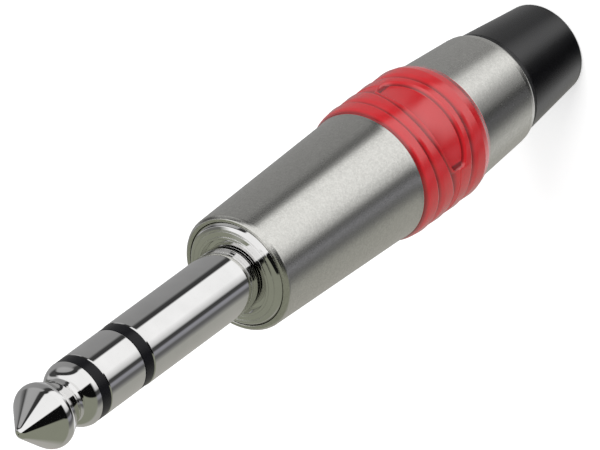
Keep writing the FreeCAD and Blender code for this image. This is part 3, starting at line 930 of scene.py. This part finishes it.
STUDIO_OLIVE = (0.24, 0.25, 0.195, 1)
STUDIO_LOW = [
    (-180, 0.36), (-150, 0.31), (-70, 0.27), (-62, 0.05), (-50, 0.04), (-45, 1.0), (6, 1.0),
    (16, 0.82), (27, 0.58), (33, 0.05), (42, 0.06), (48, (0.29, 0.29, 0.32, 1)),
    (55, (0.25, 0.25, 0.27, 1)), (61, 0.11), (68, 0.13), (84, (0.36, 0.36, 0.33, 1)),
    (160, (0.42, 0.41, 0.38, 1)), (180, 0.36)]
STUDIO_DEEP = [
    (-180, 0.55), (-150, 0.50), (-100, 0.35), (-62, 0.4), (-45, 0.7), (-28, 1.0), (-14, 0.95),
    (0, 0.5), (12, 0.08), (24, 0.01), (62, 0.01), (78, 0.2), (92, 0.45), (112, 0.9),
    (180, 0.6)]
STUDIO_FRONT = [
    (-1, 0.42), (-0.89, 0.38), (-0.86, 0.04), (-0.75, 0.03), (-0.71, 0.97), (0.02, 0.97),
    (0.07, 0.004), (1, 0.004)]
STUDIO_BACK = [
    (-1, 0.05), (-0.68, 0.06), (-0.65, 0.5), (-0.57, 0.5), (-0.52, 0.12),
    (-0.42, STUDIO_OLIVE), (1, STUDIO_OLIVE)]

# Where those parts of the studio meet, from where a blend starts to where it ends
DEEP_TO_LOW = (-0.79, -0.745)
LOW_TO_OVERHEAD = (-0.1, 0.1)
BACK_TO_FRONT = (-0.48, -0.34)
FRONT_TO_OLIVE = (0.0, 0.1)

SENSOR_WIDTH = 36
CLIPPING = (0.01, 20)


class PLUG_OT_stage(Operator):
    """Set up the floor, the studio light and the camera"""

    bl_idname = "plug.stage"
    bl_label = "Stage"
    bl_options = {"REGISTER", "UNDO"}

    def execute(self, context):
        stage = settings()[2]
        scene = context.scene
        scene.view_settings.view_transform = "Standard"
        up = Vector((0, 0, 1))
        near = Vector((math.cos(stage.view_azimuth), math.sin(stage.view_azimuth), 0))
        across = near.cross(up)
        view = math.cos(stage.view_angle) * up + math.sin(stage.view_angle) * near
        self.camera(scene, stage, up, near, across, view)
        self.floor(scene, stage)
        self.light(scene, stage, up, near, across)
        self.world(scene, stage, near, across)
        return {"FINISHED"}

    def camera(self, scene, stage, up, near, across, view):
        away = -math.sin(stage.view_angle) * up + math.cos(stage.view_angle) * near
        tilt = stage.axis_tilt
        right = math.cos(tilt) * away + math.sin(tilt) * across
        top = math.sin(tilt) * away - math.cos(tilt) * across
        place = (Vector((0, 0, stage.aim_height)) - across * stage.aim_shift
                 + view * stage.distance)
        data = bpy.data.cameras.new("Camera")
        data.sensor_width = SENSOR_WIDTH
        data.lens = stage.focal_pixels / stage.picture_pixels * SENSOR_WIDTH
        data.clip_start, data.clip_end = CLIPPING
        camera = bpy.data.objects.new("Camera", data)
        camera.matrix_world = Matrix.Translation(place) @ Matrix(
            (right, top, view)).transposed().to_4x4()
        scene.collection.objects.link(camera)
        scene.camera = camera

    def floor(self, scene, stage):
        material = bpy.data.materials.new("Pale floor")
        nodes = Nodes(material)
        path = nodes.add("ShaderNodeLightPath")
        matt = nodes.add("ShaderNodeBsdfDiffuse", {"Color": stage.floor[:]})
        glow = nodes.add("ShaderNodeEmission", {
            "Color": (1, 1, 1, 1), "Strength": nodes.math(
                "MULTIPLY", path.outputs["Is Camera Ray"], stage.floor_glow)})
        shown = nodes.add("ShaderNodeAddShader", {0: matt.outputs[0], 1: glow.outputs[0]})
        clear = nodes.add("ShaderNodeBsdfTransparent")
        seen = nodes.add("ShaderNodeMixShader", {
            0: path.outputs["Is Glossy Ray"], 1: shown.outputs[0], 2: clear.outputs[0]})
        nodes.add("ShaderNodeOutputMaterial", {"Surface": seen.outputs[0]})
        size = stage.floor_size
        mesh = bpy.data.meshes.new("Floor")
        mesh.from_pydata([(-size, -size, 0), (size, -size, 0), (size, size, 0),
                          (-size, size, 0)], [], [(0, 1, 2, 3)])
        mesh.materials.append(material)
        floor = bpy.data.objects.new("Floor", mesh)
        scene.collection.objects.link(floor)

    def light(self, scene, stage, up, near, across):
        for name, direction, power, size in (
                ("Key softbox", up * 0.9 - across * 0.55 + near * 0.55, stage.key, 0.9),
                ("Side softbox", up * 0.5 + across * 0.9 + near * 0.1, stage.side, 1.2)):
            data = bpy.data.lights.new(name, "AREA")
            data.energy = power
            data.size = size
            lamp = bpy.data.objects.new(name, data)
            direction.normalize()
            lamp.matrix_world = (Matrix.Translation(direction * stage.lamp_distance)
                                 @ direction.to_track_quat("Z", "Y").to_matrix().to_4x4())
            lamp.visible_glossy = False
            scene.collection.objects.link(lamp)

    def world(self, scene, stage, near, across):
        """White behind the plug, an even light on it, and flags and softboxes to mirror."""
        world = bpy.data.worlds.new("Studio")
        scene.world = world
        nodes = Nodes(world)
        path = nodes.add("ShaderNodeLightPath")
        place = nodes.add("ShaderNodeTexCoord").outputs["Generated"]

        def along(direction):
            node = nodes.add("ShaderNodeVectorMath", {0: place, 1: direction},
                             operation="DOT_PRODUCT")
            return node.outputs["Value"]

        toward = along(near)
        side = along(across)
        height = along((0, 0, 1))
        around = nodes.math("DEGREES", nodes.math("ARCTAN2", side, toward), 0.0)
        low = nodes.ramp(around, STUDIO_LOW, -180, 180)
        deep = nodes.ramp(around, STUDIO_DEEP, -180, 180)
        front = nodes.mixed(
            nodes.between(nodes.math("SUBTRACT", side, toward), *FRONT_TO_OLIVE),
            nodes.ramp(side, STUDIO_FRONT, -1, 1), STUDIO_OLIVE)
        back = nodes.ramp(side, STUDIO_BACK, -1, 1)
        upper = nodes.mixed(nodes.between(toward, *BACK_TO_FRONT), back, front)
        lower = nodes.mixed(nodes.between(height, *DEEP_TO_LOW), deep, low)
        mirrored = nodes.mixed(nodes.between(height, *LOW_TO_OVERHEAD), lower, upper)
        lit = nodes.mixed(path.outputs["Is Glossy Ray"],
                          tinted((1, 1, 1), stage.fill), mirrored)
        shown = nodes.mixed(
            nodes.math("MAXIMUM", path.outputs["Is Camera Ray"],
                       path.outputs["Is Transmission Ray"]), lit, (1, 1, 1, 1))
        sky = nodes.add("ShaderNodeBackground", {"Color": shown, "Strength": 1.0})
        nodes.add("ShaderNodeOutputWorld", {"Surface": sky.outputs[0]})


PIECES = (PLUG_OT_contact_finger, PLUG_OT_terminals, PLUG_OT_housing, PLUG_OT_coding_ring,
          PLUG_OT_cable_clamp, PLUG_OT_boot, PLUG_OT_stage)


class PLUG_PT_pieces(Panel):
    """Buttons for the pieces, and their settings, in the sidebar"""

    bl_idname = "PLUG_PT_pieces"
    bl_label = "Stereo Jack Plug"
    bl_space_type = "VIEW_3D"
    bl_region_type = "UI"
    bl_category = "Jack Plug"

    def draw(self, context):
        column = self.layout.column(align=True)
        for piece in PIECES:
            column.operator(piece.bl_idname)
        for group in (context.scene.plug_shape, context.scene.plug_finish,
                      context.scene.plug_stage):
            box = self.layout.box()
            for name in group.bl_rna.properties.keys():
                if name not in ("rna_type", "name"):
                    box.prop(group, name)


CLASSES = (PlugShape, PlugFinish, PlugStage) + PIECES + (PLUG_PT_pieces,)


def register():
    for item in CLASSES:
        bpy.utils.register_class(item)
    bpy.types.Scene.plug_shape = PointerProperty(type=PlugShape)
    bpy.types.Scene.plug_finish = PointerProperty(type=PlugFinish)
    bpy.types.Scene.plug_stage = PointerProperty(type=PlugStage)


def unregister():
    del bpy.types.Scene.plug_stage
    del bpy.types.Scene.plug_finish
    del bpy.types.Scene.plug_shape
    for item in reversed(CLASSES):
        bpy.utils.unregister_class(item)


def main():
    register()
    for piece in PIECES:
        group, name = piece.bl_idname.split(".")
        getattr(getattr(bpy.ops, group), name)()


if __name__ == "__main__":
    main()
